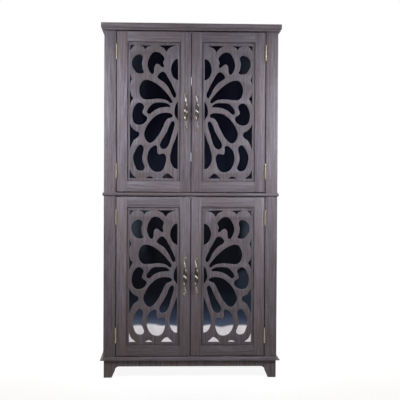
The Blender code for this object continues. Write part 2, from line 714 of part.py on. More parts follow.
def main():
    clear_scene()
    finishes = {
        "wood": make_material("weathered_wood", (0.16, 0.14, 0.145), 0.6),
        "fretwork": make_material("painted_fretwork", (0.15, 0.135, 0.14), 0.6),
        "mirror": make_material("mirror_glass", (0.75, 0.77, 0.8), 0.05, 1.0),
        "brass": make_material("antique_brass", (0.42, 0.34, 0.2), 0.35, 1.0),
        "steel": make_material("catch_steel", (0.35, 0.35, 0.36), 0.45, 0.8),
    }
    carcass = add_empty("carcass", (0, 0, 0))
    wood = finishes["wood"]
    moulded_board("top_board", crown_levels(), wood, carcass)
    moulded_board("bottom_board", base_levels(), wood, carcass)
    waist_bead(wood, carcass)
    build_plinth(wood, carcass)
    build_sides(wood, carcass)
    build_posts(wood, carcass)
    build_boards(wood, carcass)
    build_catches(finishes["steel"], carcass)
    tiers = (
        ("lower", LOWER_DOOR_HEIGHT, LOWER_DOOR_BOTTOM),
        ("upper", UPPER_DOOR_HEIGHT, UPPER_DOOR_BOTTOM),
    )
    for tier, height, bottom in tiers:
        for side in (-1, 1):
            build_door(tier, side, height, bottom, finishes, carcass)


main()
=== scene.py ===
# %% [markdown]
# # A tall cabinet with mirrored fretwork doors
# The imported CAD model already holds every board, door and hinge at its place, in metres. This lesson dresses
# that model: each piece is made again with the eased edges, round barrels and smooth cut-outs that the solids
# leave out, and then gets its finish. The CAD nodes stay underneath as the frame, and every new piece rides
# on one of their bodies, so the doors still swing.

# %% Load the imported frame
import json
import math

import bpy
from mathutils import Matrix, Vector

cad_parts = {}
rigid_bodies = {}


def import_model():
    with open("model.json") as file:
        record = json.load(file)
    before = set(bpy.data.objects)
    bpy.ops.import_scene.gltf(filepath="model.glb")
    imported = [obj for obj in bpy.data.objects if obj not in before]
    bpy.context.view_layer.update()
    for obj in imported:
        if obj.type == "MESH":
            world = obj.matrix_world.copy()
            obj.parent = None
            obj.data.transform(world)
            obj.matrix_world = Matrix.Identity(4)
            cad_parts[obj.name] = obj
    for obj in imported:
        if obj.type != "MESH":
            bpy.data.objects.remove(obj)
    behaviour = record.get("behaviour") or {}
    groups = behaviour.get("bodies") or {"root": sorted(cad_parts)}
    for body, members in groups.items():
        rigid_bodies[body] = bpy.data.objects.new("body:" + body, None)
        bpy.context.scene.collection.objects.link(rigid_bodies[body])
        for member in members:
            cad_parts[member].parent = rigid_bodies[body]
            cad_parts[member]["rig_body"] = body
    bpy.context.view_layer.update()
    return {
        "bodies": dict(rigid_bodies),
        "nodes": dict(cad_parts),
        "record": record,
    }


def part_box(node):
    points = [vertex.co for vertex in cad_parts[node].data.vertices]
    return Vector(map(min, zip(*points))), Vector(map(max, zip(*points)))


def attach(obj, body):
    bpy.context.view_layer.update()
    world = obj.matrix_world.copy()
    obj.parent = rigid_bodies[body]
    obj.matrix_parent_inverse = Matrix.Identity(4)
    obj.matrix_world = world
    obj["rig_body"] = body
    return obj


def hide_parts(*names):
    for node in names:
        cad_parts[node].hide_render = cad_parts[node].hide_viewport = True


for leftover in list(bpy.data.objects):
    bpy.data.objects.remove(leftover)
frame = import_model()
MM = 0.001
SLOT_OF = {row["node"]: row["material_slot"] for row in frame["record"]["subparts"]}
DOORS = [body for body in sorted(frame["bodies"]) if body.endswith("_door")]
DOOR_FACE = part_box("upper_left_hinge_stile")[0].y
print("CAD nodes:", len(frame["nodes"]), "doors:", DOORS)

# %% [markdown]
# ## The camera
# A tall cabinet is photographed from well back with a longish lens, so that its uprights stay upright. Here
# the lens stands four metres from the doors, a little left of the middle and just above half height. Setting
# the camera first means that each piece can be judged in the picture as soon as it is made.

# %% Place the camera
PICTURE_PIXELS = 400
FOCAL_PIXELS = 885.08
SENSOR_WIDTH = 36
CAMERA_ACROSS = -125.3 * MM
CAMERA_HEIGHT = 863.3 * MM
CAMERA_DISTANCE = 4000 * MM
CAMERA_YAW = math.radians(-2.3854)
CAMERA_PITCH = math.radians(-0.8278)
CAMERA_ROLL = math.radians(-0.2950)
QUARTER_TURN = math.radians(90)

bpy.ops.object.camera_add(location=(CAMERA_ACROSS, DOOR_FACE - CAMERA_DISTANCE, CAMERA_HEIGHT))
camera = bpy.context.object
camera.name = "studio_camera"
camera.data.sensor_width = SENSOR_WIDTH
camera.data.lens = FOCAL_PIXELS * SENSOR_WIDTH / PICTURE_PIXELS
aim = Matrix.Rotation(CAMERA_YAW, 3, "Z") @ Matrix.Rotation(CAMERA_PITCH, 3, "X")
aim = aim @ Matrix.Rotation(CAMERA_ROLL, 3, "Y") @ Matrix.Rotation(QUARTER_TURN, 3, "X")
camera.rotation_euler = aim.to_euler()
bpy.context.scene.camera = camera
print("Lens:", round(camera.data.lens, 1), "mm")

# %% [markdown]
# ## Small tools for picking and shaping
# An operator works on whatever is selected, so each step first makes its own piece the only selected one. A
# CAD node comes in as loose triangles. A copy of it is merged and its flat faces are made whole again, and
# only then can an edge be eased, which is what a joiner does with a block of sandpaper.

# %% Tools for picking and copying
# Points nearer than this are one point, and faces that meet at less than this are one face.
MERGE_DISTANCE = 0.01 * MM
FLAT_ANGLE = math.radians(1)


def only(piece):
    """Make a piece the one selected and active object."""
    bpy.ops.object.select_all(action="DESELECT")
    piece.select_set(True)
    bpy.context.view_layer.objects.active = piece


def new_copy(name, mesh, shift=(0, 0, 0)):
    """A new piece with its own copy of a mesh, moved to its place."""
    piece = bpy.data.objects.new(name, mesh.copy())
    bpy.context.scene.collection.objects.link(piece)
    piece.data.transform(Matrix.Translation(shift))
    only(piece)
    return piece


def edit_all(piece):
    """Go into edit mode with all of a piece selected."""
    only(piece)
    bpy.ops.object.mode_set(mode="EDIT")
    bpy.ops.mesh.select_all(action="SELECT")


def merged_copy(node, name):
    """A copy of a CAD node with its loose triangles joined into whole faces."""
    piece = new_copy(name, frame["nodes"][node].data)
    piece.data.materials.clear()
    bpy.ops.mesh.customdata_custom_splitnormals_clear()
    edit_all(piece)
    bpy.ops.mesh.remove_doubles(threshold=MERGE_DISTANCE)
    bpy.ops.mesh.dissolve_limited(angle_limit=FLAT_ANGLE)
    bpy.ops.object.mode_set(mode="OBJECT")
    return piece


print("CAD points merge within", MERGE_DISTANCE / MM, "mm")

# %% Tools for easing and fitting
# Faces that meet at more than the first angle get an eased edge, and at less than the second a smooth shade.
CLOSE_DISTANCE = 0.001 * MM
EASED_ANGLE = math.radians(40)
SMOOTH_ANGLE = math.radians(35)


def merge_close(piece):
    """Join the points of a piece that lie on top of each other."""
    edit_all(piece)
    bpy.ops.mesh.remove_doubles(threshold=CLOSE_DISTANCE)
    bpy.ops.object.mode_set(mode="OBJECT")


def modify(piece, kind, **settings):
    """Give a piece a modifier with its settings, and apply it."""
    only(piece)
    bpy.ops.object.modifier_add(type=kind)
    step = piece.modifiers[-1]
    for name, value in settings.items():
        setattr(step, name, value)
    bpy.ops.object.modifier_apply(modifier=step.name)


def ease_edges(piece, width, segments=2):
    """Round the sharp edges of a piece and smooth its curved faces."""
    modify(piece, "BEVEL", width=width, segments=segments, limit_method="ANGLE", angle_limit=EASED_ANGLE)
    merge_close(piece)
    bpy.ops.object.shade_smooth_by_angle(angle=SMOOTH_ANGLE)


def fit(piece, body, finish=None, replaced=()):
    """Ride a finished piece on its body, give it its finish if it has one, and hide the CAD nodes that it
    replaces.
    """
    if finish:
        piece.data.materials.clear()
        piece.data.materials.append(finish)
    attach(piece, body)
    if replaced:
        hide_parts(*replaced)


def body_of(node):
    """The body that carries a CAD node."""
    return frame["nodes"][node]["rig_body"]


print("Edges are eased from", round(math.degrees(EASED_ANGLE)), "degrees")

# %% [markdown]
# ## Small tools for finishes
# Every finish below is a few procedural nodes. Colours are written as the hex values that a screen shows, and
# one function turns them into the linear numbers that a renderer works with. Another adds a node together
# with its settings and its links, so that a finish reads as a short list.

# %% Tools for finishes
# Most of a noise lies between these two values.
NOISE_LOW = 0.3
NOISE_HIGH = 0.7


def linear(screen_colour):
    """The linear colour of an sRGB hex value."""
    parts = [int(screen_colour[place:place + 2], 16) / 255 for place in (1, 3, 5)]
    return tuple(c / 12.92 if c <= 0.04045 else ((c + 0.055) / 1.055) ** 2.4 for c in parts) + (1.0,)


def add_node(tree, kind, inputs=None, stops=None, **settings):
    """Add a node; an input is a value, or the output or node (then its first output) that it links to."""
    made = tree.nodes.new("ShaderNode" + kind)
    for name, value in settings.items():
        setattr(made, name, value)
    for socket, value in (inputs or {}).items():
        if isinstance(value, bpy.types.Node):
            value = value.outputs[0]
        if isinstance(value, bpy.types.NodeSocket):
            tree.links.new(value, made.inputs[socket])
        else:
            made.inputs[socket].default_value = value
    if stops:
        ramp = made.color_ramp.elements
        ramp.remove(ramp[1])
        ramp[0].position, ramp[0].color = stops[0]
        for position, colour in stops[1:]:
            ramp.new(position).color = colour
    return made


def remap(tree, value, low, high, new_low=0.0, new_high=1.0):
    """A value whose range from low to high is stretched to a new one."""
    ends = {0: value, 1: low, 2: high, 3: new_low, 4: new_high}
    return add_node(tree, "MapRange", ends)


def noise(tree, place, size_mm, detail):
    """A noise with spots of about a size."""
    return add_node(tree, "TexNoise", {"Vector": place, "Scale": 1 / (size_mm * MM), "Detail": detail})


def new_finish(name):
    """A new material, its node tree, and the coordinates of the piece that it covers."""
    finish = bpy.data.materials.new(name)
    finish.use_nodes = True
    tree = finish.node_tree
    tree.nodes.clear()
    return finish, tree, add_node(tree, "TexCoord").outputs["Object"]


def give_look(tree, look):
    """End a finish with one surface that has a look."""
    surface = add_node(tree, "BsdfPrincipled", look)
    add_node(tree, "OutputMaterial", {"Surface": surface})


print("Mid grey in linear light:", round(linear("#808080")[0], 3))

# %% [markdown]
# ## Grey oak
# The boards are faced with a grey-brown oak veneer under a matt lacquer. The eye sees the wandering lines of
# the yearly rings, softer streaks, a slow drift between purple grey and brown, and fine open pores. The rings
# are a ring pattern round a far-off heart, bent by a noise; the rest are noises stretched along the grain.
# The grain runs the length of each board, so there is one material for each direction. Two numbers are kept
# on each board: one slides the pattern, so that no two boards match, and one makes it lighter or darker,
# partly as veneer differs and partly as painted light and shade.

# %% Make the oak finishes
OAK_TONES = ("#5f5457", "#736868", "#80757a", "#90858b")
OAK_BROWN = "#75665f"
FIRST_TONE_AT = 0.32
TONE_STEP = 0.12
# From the drift to a share of brown, from the pores to a shade, and from the streaks to a roughness.
BROWN_RANGE = (0.42, 0.72, 0.0, 0.7)
PORE_RANGE = (0.34, 0.46, 0.66, 1.0)
ROUGH_RANGE = (NOISE_LOW, NOISE_HIGH, 0.6, 0.46)
PORE_DEPTH = 0.15 * MM
BOARD_SLIDE = 53.0
RING_MM = 15
RING_SHOWS = 0.02
HEART_AWAY = 190 * MM
RING_BEND = 16 * MM
# At a scale of 1, a wave texture has this many waves in a metre.
WAVE_UNIT = 20 / (2 * math.pi)
# Layer: width across the grain and length along it in mm, and noise detail. Real pores are about 0.3 mm
# wide, too fine to show here, so they are drawn at 1.5 mm.
GRAIN_LAYERS = {
    "bend": (45, 330, 2.0), "drift": (60, 420, 2.0), "streak": (5.5, 150, 4.0), "pore": (1.5, 26, 2.0)}


def grey_oak(along):
    """Grey oak veneer, matt lacquered, with its grain along X or Z."""
    finish, tree, place = new_finish("grey_oak_veneer_along_" + along)
    board = add_node(tree, "Attribute", attribute_name="board").outputs["Fac"]
    slide = add_node(tree, "Math", {0: board, 1: BOARD_SLIDE}, operation="MULTIPLY")
    layer = {}
    for name, (across, length, detail) in GRAIN_LAYERS.items():
        scale = [1 / (across * MM)] * 3
        scale["XYZ".index(along)] = 1 / (length * MM)
        spot = add_node(tree, "Mapping", {"Vector": place, "Location": slide, "Scale": scale})
        grain = {"Vector": spot, "Scale": 1.0, "Detail": detail, "Roughness": 0.6, "Distortion": 0.2}
        layer[name] = add_node(tree, "TexNoise", grain)
    bend = remap(tree, layer["bend"], 0.0, 1.0, -RING_BEND, RING_BEND)
    heart = add_node(
        tree, "Math", {0: board, 1: HEART_AWAY, 2: HEART_AWAY}, operation="MULTIPLY_ADD")
    shift = add_node(tree, "Math", {0: bend, 1: heart}, operation="ADD")
    bent = add_node(tree, "VectorMath", {0: place, 1: shift}, operation="ADD")
    rings = add_node(
        tree, "TexWave", {"Vector": bent, "Scale": 1 / (RING_MM * MM * WAVE_UNIT), "Detail": 0.0},
        wave_type="RINGS", rings_direction=along).outputs["Fac"]
    figure = remap(tree, rings, 0.0, 1.0, -RING_SHOWS, RING_SHOWS)
    line = add_node(tree, "Math", {0: layer["streak"], 1: figure}, operation="ADD")
    stops = [(FIRST_TONE_AT + TONE_STEP * step, linear(tone)) for step, tone in enumerate(OAK_TONES)]
    streaks = add_node(tree, "ValToRGB", {"Fac": line}, stops)
    browner = remap(tree, layer["drift"], *BROWN_RANGE)
    brown = {0: browner, 6: streaks, 7: linear(OAK_BROWN)}
    tinted = add_node(tree, "Mix", brown, data_type="RGBA").outputs[2]
    open_pore = remap(tree, layer["pore"], *PORE_RANGE)
    # A board's tone is partly its veneer and partly painted light and shade.
    board_tone_and_shade = add_node(tree, "Attribute", attribute_name="tone").outputs["Fac"]
    shade = add_node(tree, "Math", {0: open_pore, 1: board_tone_and_shade}, operation="MULTIPLY")
    colour = add_node(
        tree, "Mix", {0: 1.0, 6: tinted, 7: shade}, data_type="RGBA", blend_type="MULTIPLY").outputs[2]
    rough = remap(tree, layer["streak"], *ROUGH_RANGE)
    depth = add_node(tree, "Math", {0: line, 1: open_pore}, operation="MULTIPLY")
    bump = add_node(tree, "Bump", {"Height": depth, "Strength": 0.2, "Distance": PORE_DEPTH})
    give_look(tree, {"Base Color": colour, "Roughness": rough, "Normal": bump, "IOR": 1.48})
    return finish


OAK = {along: grey_oak(along) for along in "XZ"}
print("Oak finishes:", [finish.name for finish in OAK.values()])

# %% [markdown]
# ## The carcass and the door frames
# Thirty boards make the carcass and the four door frames. Their shapes are right in the CAD model, mouldings,
# rebates and bracket feet included, but every edge there is knife sharp. Each board is copied and its edges
# are eased by half a millimetre, so that it catches a line of light, and the butt joints of the doors show as
# fine grooves. The strip round the waist is rounded much more.

# %% Make the boards
BOARD_EASE = 0.5 * MM
BEAD_EASE = 3.2 * MM
BEAD_SEGMENTS = 5
GOLDEN_STEP = 0.618
# How light a board is drawn. Part of this is veneer that differs from sheet to sheet, and part is painted
# light and shade, such as the lighter hinge stiles and top and the darker meeting stiles and waist bead. A
# board that isn't named here has a tone of 1.
BOARD_TONES_AND_SHADE = {
    "waist_bead": 0.72, "post_left": 0.94, "post_right": 1.03, "top_board": 1.06, "bottom_board": 1.05,
    "upper_left_top_rail": 1.08, "upper_right_top_rail": 0.85,
    "upper_left_bottom_rail": 0.9, "upper_right_bottom_rail": 0.82,
    "upper_left_hinge_stile": 1.17, "upper_left_meeting_stile": 0.88, "upper_right_meeting_stile": 0.87,
    "lower_left_top_rail": 0.85, "lower_right_top_rail": 0.91,
    "lower_left_bottom_rail": 0.92, "lower_right_bottom_rail": 0.9,
    "lower_left_hinge_stile": 1.09, "lower_right_hinge_stile": 1.08,
    "lower_left_meeting_stile": 0.87, "lower_right_meeting_stile": 0.91}


def grain_of(node):
    """The direction in which the grain of a board runs."""
    level = ("rail", "_board", "_shelf", "waist_bead")
    return "X" if any(word in node for word in level) else "Z"


def mark_board(piece, number, tone):
    """Keep on a board the number that slides its grain, from 0 to 1, and its tone, which holds painted light
    and shade as well as veneer.
    """
    for name, value in (("board", number * GOLDEN_STEP % 1), ("tone", tone)):
        mark = piece.data.attributes.new(name, "FLOAT", "POINT")
        mark.data.foreach_set("value", [value] * len(piece.data.vertices))


wooden = sorted(node for node, slot in SLOT_OF.items() if slot == "wood")
for number, node in enumerate(wooden):
    board = merged_copy(node, node + "_oak")
    if node == "waist_bead":
        ease_edges(board, BEAD_EASE, BEAD_SEGMENTS)
    else:
        ease_edges(board, BOARD_EASE)
    mark_board(board, number, BOARD_TONES_AND_SHADE.get(node, 1.0))
    fit(board, body_of(node), OAK[grain_of(node)], [node])
print("Boards:", len(wooden))

# %% [markdown]
# ## The fretwork
# Each door has a thin panel that a router has pierced with a fan of petals. The CAD outline has straight
# facets, so the panel is drawn again: the edges of the node's front face become a flat Bezier curve, whose
# handles are smooth except at the points where a petal comes to a tip or meets the border. Giving the curve a
# thickness and a small bevel then cuts the panel in one go, with the softened arris that sanding leaves. Its
# rim stops just short of the door frame, and a thinner tongue behind runs on into the rebate, so that a
# narrow dark groove shows all round.

# %% Take the outlines of the panels
# A face whose normal has a lower Y than this looks to the front.
FRONT_NORMAL = -0.9


def pick_faces(piece, wanted):
    """Go into edit mode with only the wanted faces of a piece selected."""
    only(piece)
    bpy.ops.object.mode_set(mode="EDIT")
    bpy.ops.mesh.select_mode(type="FACE")
    bpy.ops.mesh.select_all(action="DESELECT")
    bpy.ops.object.mode_set(mode="OBJECT")
    for face in piece.data.polygons:
        face.select = wanted(face)
    bpy.ops.object.mode_set(mode="EDIT")


def front_outline(node, name):
    """The edges of a panel's front face, as a curve laid flat on the floor plane."""
    piece = merged_copy(node, name)
    pick_faces(piece, lambda face: face.normal.y > FRONT_NORMAL)
    bpy.ops.mesh.delete(type="FACE")
    bpy.ops.mesh.select_all(action="SELECT")
    bpy.ops.mesh.region_to_loop()
    bpy.ops.mesh.select_all(action="INVERT")
    bpy.ops.mesh.delete(type="EDGE")
    bpy.ops.mesh.select_all(action="SELECT")
    bpy.ops.mesh.dissolve_limited(angle_limit=FLAT_ANGLE)
    bpy.ops.object.mode_set(mode="OBJECT")
    piece.rotation_euler = (-QUARTER_TURN, 0, 0)
    bpy.ops.object.transform_apply()
    bpy.ops.object.convert(target="CURVE")
    return bpy.context.object


outlines = {}
for door in DOORS:
    node = door.replace("_door", "_fretwork")
    outlines[door] = front_outline(node, node + "_panel")
print("Openings:", {door: len(outline.data.splines) - 1 for door, outline in outlines.items()})

# %% Round the petals
GROOVE_WIDTH = 1.4 * MM
TIP_REACH = 1.0 * MM
# Petal tips in a field of openings of this height, in mm from its corner at the hinge side and the bottom.
# The field of a lower door isn't quite as high, and its tips move with it.
DRAWN_HEIGHT_MM = 598
PETAL_TIPS = ((66.5, 581), (163.5, 570), (8.5, 445.5), (15, 360), (183, 321.5))


def frame_opening(door):
    """The lowest and highest corner, across and up, of the opening in a door frame."""
    boards = {name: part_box(door.replace("door", name)) for name in (
        "hinge_stile", "meeting_stile", "bottom_rail", "top_rail")}
    left, right = sorted((boards["hinge_stile"], boards["meeting_stile"]), key=lambda corners: corners[0].x)
    return Vector((left[1].x, boards["bottom_rail"][1].z)), Vector((right[0].x, boards["top_rail"][0].z))


def round_petals(outline, mirrored, rim_low, rim_high):
    """Draw in the rim and make the outline smooth, except at the tips and the borders of the openings."""
    curve = outline.data
    only(outline)
    bpy.ops.object.mode_set(mode="EDIT")
    bpy.ops.curve.select_all(action="SELECT")
    bpy.ops.curve.spline_type_set(type="BEZIER")
    bpy.ops.object.mode_set(mode="OBJECT")
    heights = []
    for spline in curve.splines:
        levels = [point.co.y for point in spline.bezier_points]
        heights.append(max(levels) - min(levels))
    rim = heights.index(max(heights))
    points = [p for place, s in enumerate(curve.splines) if place != rim for p in s.bezier_points]
    left, right = min(p.co.x for p in points), max(p.co.x for p in points)
    low, high = min(p.co.y for p in points), max(p.co.y for p in points)
    for point in curve.splines[rim].bezier_points:
        point.co.x = rim_low.x if point.co.x < left else rim_high.x
        point.co.y = rim_low.y if point.co.y < low else rim_high.y
    rise = (high - low) / DRAWN_HEIGHT_MM
    tips = [Vector((right - u * MM if mirrored else left + u * MM, low + v * rise)) for u, v in PETAL_TIPS]
    sharp = 0
    for place, spline in enumerate(curve.splines):
        for point in spline.bezier_points:
            spot = point.co.xy
            edge = min(spot.x - left, right - spot.x, spot.y - low, high - spot.y)
            near_tip = min((spot - tip).length for tip in tips)
            corner = place == rim or edge < TIP_REACH / 2 or near_tip < TIP_REACH
            point.handle_left_type = point.handle_right_type = "VECTOR" if corner else "AUTO"
            sharp += corner
    return sharp


groove = Vector((GROOVE_WIDTH, GROOVE_WIDTH))
rims = {}
for door, outline in outlines.items():
    low, high = frame_opening(door)
    rims[door] = (low + groove, high - groove)
    print(door, "sharp points:", round_petals(outline, "right" in door, *rims[door]))

# %% Cut the panels
FRET_EASE = 0.6 * MM
# Wood that sanding takes off every edge of a panel.
SANDED_OFF = 0.7 * MM
CURVE_STEPS = 5


def close_slivers(panel):
    """Close the gaps left where three corners lie on one line, as along the border of two openings."""
    edit_all(panel)
    bpy.ops.mesh.fill_holes(sides=3)
    bpy.ops.mesh.select_all(action="SELECT")
    bpy.ops.mesh.dissolve_degenerate(threshold=CLOSE_DISTANCE)
    bpy.ops.object.mode_set(mode="OBJECT")


def cut_panel(outline, node):
    """Give the outline its thickness and arris, stand it up and make it a mesh."""
    low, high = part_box(node)
    curve = outline.data
    curve.dimensions = "2D"
    curve.fill_mode = "BOTH"
    curve.resolution_u = CURVE_STEPS
    curve.bevel_depth = FRET_EASE
    curve.bevel_resolution = 1
    curve.offset = -FRET_EASE - SANDED_OFF
    curve.extrude = (high.y - low.y) / 2 - FRET_EASE
    only(outline)
    bpy.ops.object.convert(target="MESH")
    panel = bpy.context.object
    panel.rotation_euler = (QUARTER_TURN, 0, 0)
    panel.location.y = (low.y + high.y) / 2
    bpy.ops.object.transform_apply()
    edit_all(panel)
    bpy.ops.mesh.remove_doubles(threshold=MERGE_DISTANCE)
    bpy.ops.mesh.normals_make_consistent(inside=False)
    bpy.ops.object.mode_set(mode="OBJECT")
    close_slivers(panel)
    return panel


panels = {door: cut_panel(outline, door.replace("_door", "_fretwork")) for door, outline in outlines.items()}
print("Panels:", len(panels))

# %% Give the panels their tongues
# The panels are drawn darker than the frames, as painted shade for their recess.
FRET_SHADE_TONE = 0.78
GROOVE_DEPTH = 2.5 * MM
TONGUE_LAP = 1.0 * MM


def add_box(name, low, high):
    """A box between two corners, with its place in its mesh."""
    low, high = Vector(low), Vector(high)
    bpy.ops.mesh.primitive_cube_add(size=1, location=(low + high) / 2)
    made = bpy.context.object
    made.name = name
    made.scale = high - low
    bpy.ops.object.transform_apply()
    return made


def combine(base, tool, operation="UNION"):
    """Add a tool to a base, or cut it away, and use the tool up."""
    modify(base, "BOOLEAN", operation=operation, solver="EXACT", object=tool)
    bpy.data.objects.remove(tool)


def tongue(node, rim_low, rim_high):
    """The thin border of a panel, which runs from behind its rim into the rebate."""
    low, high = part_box(node)
    border = add_box("tongue", (low.x, low.y + GROOVE_DEPTH, low.z), high)
    inside = Vector((TONGUE_LAP, TONGUE_LAP))
    lap_low, lap_high = rim_low + inside, rim_high - inside
    hole = add_box("hole", (lap_low.x, low.y, lap_low.y), (lap_high.x, 2 * high.y - low.y, lap_high.y))
    combine(border, hole, "DIFFERENCE")
    return border


for number, (door, panel) in enumerate(panels.items()):
    node = door.replace("_door", "_fretwork")
    combine(panel, tongue(node, *rims[door]))
    merge_close(panel)
    close_slivers(panel)
    bpy.ops.object.shade_smooth_by_angle(angle=SMOOTH_ANGLE)
    mark_board(panel, number + len(wooden), FRET_SHADE_TONE)
    fit(panel, door, OAK["Z"], [node])
    print(panel.name, "faces:", len(panel.data.polygons))

# %% [markdown]
# ## The mirrors
# Behind each panel lies a sheet of mirror glass, backed by a hardboard sheet that shows when the door is
# open. A mirror is silver seen through clear glass, so it is a smooth, light grey metal. Float glass is never
# quite flat, and a very weak, wide bump bends the reflections a little, as it does in a room.

# %% Make the mirror and hardboard finishes
GLASS_WAVE_MM = 90
GLASS_WAVE_DEPTH = 0.45 * MM
SMEAR_MM = 35
SMEAR_FROM = 0.35
SMEAR_TO = 0.75
CLEAN_GLASS, SMEARED_GLASS = "#d2ced1", "#c4c0c4"
CLEAN_ROUGH = 0.01
SMEARED_ROUGH = 0.04
FIBRE_MM = 3


def mirror_glass():
    """Silvered float glass: a bright, smooth metal with slightly uneven flatness."""
    finish, tree, place = new_finish("silvered_float_glass")
    wave = noise(tree, place, GLASS_WAVE_MM, 1.0)
    smear = noise(tree, place, SMEAR_MM, 4.0)
    rough = remap(tree, smear, SMEAR_FROM, SMEAR_TO, CLEAN_ROUGH, SMEARED_ROUGH)
    bump = add_node(tree, "Bump", {"Height": wave, "Strength": 1.0, "Distance": GLASS_WAVE_DEPTH})
    stops = [(SMEAR_FROM, linear(CLEAN_GLASS)), (SMEAR_TO, linear(SMEARED_GLASS))]
    tint = add_node(tree, "ValToRGB", {"Fac": smear}, stops)
    give_look(tree, {"Base Color": tint, "Metallic": 1.0, "Roughness": rough, "Normal": bump})
    return finish


def hardboard():
    """Pressed wood fibre: a matt brown sheet, mottled by short fibres."""
    finish, tree, place = new_finish("pressed_hardboard")
    fibre = noise(tree, place, FIBRE_MM, 5.0)
    stops = [(NOISE_LOW, linear("#4d3b2e")), (0.5, linear("#6b5442")), (NOISE_HIGH, linear("#816751"))]
    colour = add_node(tree, "ValToRGB", {"Fac": fibre}, stops)
    bump = add_node(tree, "Bump", {"Height": fibre, "Strength": 0.3, "Distance": 0.2 * MM})
    give_look(tree, {"Base Color": colour, "Roughness": 0.8, "Normal": bump})
    return finish


MIRROR = mirror_glass()
HARDBOARD = hardboard()
print("Finishes:", MIRROR.name, HARDBOARD.name)

# %% Make the mirrors and their backing sheets
GLASS_THICK = 3 * MM
GLASS_ARRIS = 0.5 * MM

for door in DOORS:
    node = door.replace("_door", "_mirror")
    low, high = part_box(node)
    glass = add_box(node + "_glass", low, (high.x, low.y + GLASS_THICK, high.z))
    ease_edges(glass, GLASS_ARRIS, 1)
    fit(glass, door, MIRROR, [node])
    sheet = add_box(node + "_backing", (low.x, low.y + GLASS_THICK, low.z), high)
    ease_edges(sheet, GLASS_ARRIS)
    fit(sheet, door, HARDBOARD)
print("Mirrors:", len(DOORS))

# %% [markdown]
# ## The pulls
# Each door has a cast pull in antique brass: two strands wound on a core, which run together into a stem at
# either end and bow down to a round foot. Every rod is a path given the thickness of a wire. Joining them all
# and wrapping the lot in one voxel skin welds them together, and smoothing that skin gives the soft hollows
# of a casting. One pull is modelled, at the origin, and copied to the four doors.

# %% Make the antique brass finish
PATINA_MM = 6
BRASS_TONES = ((0.0, "#241e16"), (0.4, "#675c4a"), (1.0, "#e6dfcd"))
# From ridges and mottle to a change in wear, and from the wear and painted shine to roughness and metal.
RIDGE_RANGE = (0.44, 0.58, -0.3, 0.3)
MOTTLE_RANGE = (NOISE_LOW, NOISE_HIGH, -0.2, 0.2)
BRASS_ROUGH = (0.0, 1.0, 0.45, 0.26)
BRASS_METAL = (0.0, 1.0, 0.4, 1.0)


def antique_brass():
    """Cast brass, darkened all over, rubbed bright where hands reach it, and painted with highlights in front
    and shade behind.
    """
    finish, tree, place = new_finish("antique_brass")
    mottle = noise(tree, place, PATINA_MM, 4.0)
    height = add_node(tree, "NewGeometry").outputs["Pointiness"]
    ridge = remap(tree, height, *RIDGE_RANGE)
    # This marked level is partly wear and partly painted highlight and shade.
    hand_wear_and_shine = add_node(tree, "Attribute", attribute_name="rubbed").outputs["Fac"]
    uneven = remap(tree, mottle, *MOTTLE_RANGE)
    worn_and_shine = add_node(tree, "Math", {0: ridge, 1: hand_wear_and_shine}, operation="ADD")
    wear_and_shine = add_node(tree, "Math", {0: worn_and_shine, 1: uneven}, operation="ADD", use_clamp=True)
    stops = [(share, linear(tone)) for share, tone in BRASS_TONES]
    colour = add_node(tree, "ValToRGB", {"Fac": wear_and_shine}, stops)
    rough = remap(tree, wear_and_shine, *BRASS_ROUGH)
    metal = remap(tree, wear_and_shine, *BRASS_METAL)
    give_look(tree, {"Base Color": colour, "Metallic": metal, "Roughness": rough})
    return finish


BRASS = antique_brass()
print("Finish:", BRASS.name)

# %% Lay the middle line of a pull
PULL_CENTRES = 160 * MM
PULL_STANDOFF = 23 * MM
PULL_SWAY = 5 * MM
TWIST_LENGTH = 86 * MM
FOOT_FLANGE = 3 * MM
SEAT_GAP = 0.3 * MM
# A higher power keeps the pull away from the door for longer before it bows down.
BOW_POWER = 6


def pull_centre(height):
    """The middle line of a pull, whose door face is the plane y = 0."""
    half = PULL_CENTRES / 2
    foot = SEAT_GAP + FOOT_FLANGE / 2
    along = max(0, (abs(height) - TWIST_LENGTH / 2) / (half - TWIST_LENGTH / 2))
    sway = -math.copysign(PULL_SWAY, height) * math.sin(math.pi * along ** 2) ** 2
    lift = (PULL_STANDOFF - foot) * (1 - (height / half) ** BOW_POWER)
    return Vector((sway, -foot - lift, height))


print("Pull stands off:", round(-pull_centre(0).y / MM, 1), "mm")

# %% Make its strands, core and stems
CROSSING_REACH = 8.5 * MM
TWIST_RADIUS = 5.8 * MM
STRAND_RADIUS = 2.7 * MM
CORE_RADIUS = 4.2 * MM
CORE_END_RADIUS = 1.8 * MM
STEM_RADIUS = 3.0 * MM
TIP_RADIUS = 2.2 * MM
STRAND_POINTS = 97
STEM_POINTS = 25
ROD_ROUNDNESS = 4
# How late the strands close and the core thins.
CLOSING_POWER = 6
CORE_POWER = 8


def rod(points):
    """A round rod along (place, radius) points."""
    bpy.ops.curve.primitive_nurbs_path_add()
    made = bpy.context.object
    curve = made.data
    curve.splines.clear()
    spline = curve.splines.new("POLY")
    spline.points.add(len(points) - 1)
    for point, (place, radius) in zip(spline.points, points):
        point.co = (*place, 1)
        point.radius = radius / MM
    curve.bevel_depth = MM
    curve.bevel_resolution = ROD_ROUNDNESS
    curve.use_fill_caps = True
    bpy.ops.object.convert(target="MESH")
    return bpy.context.object


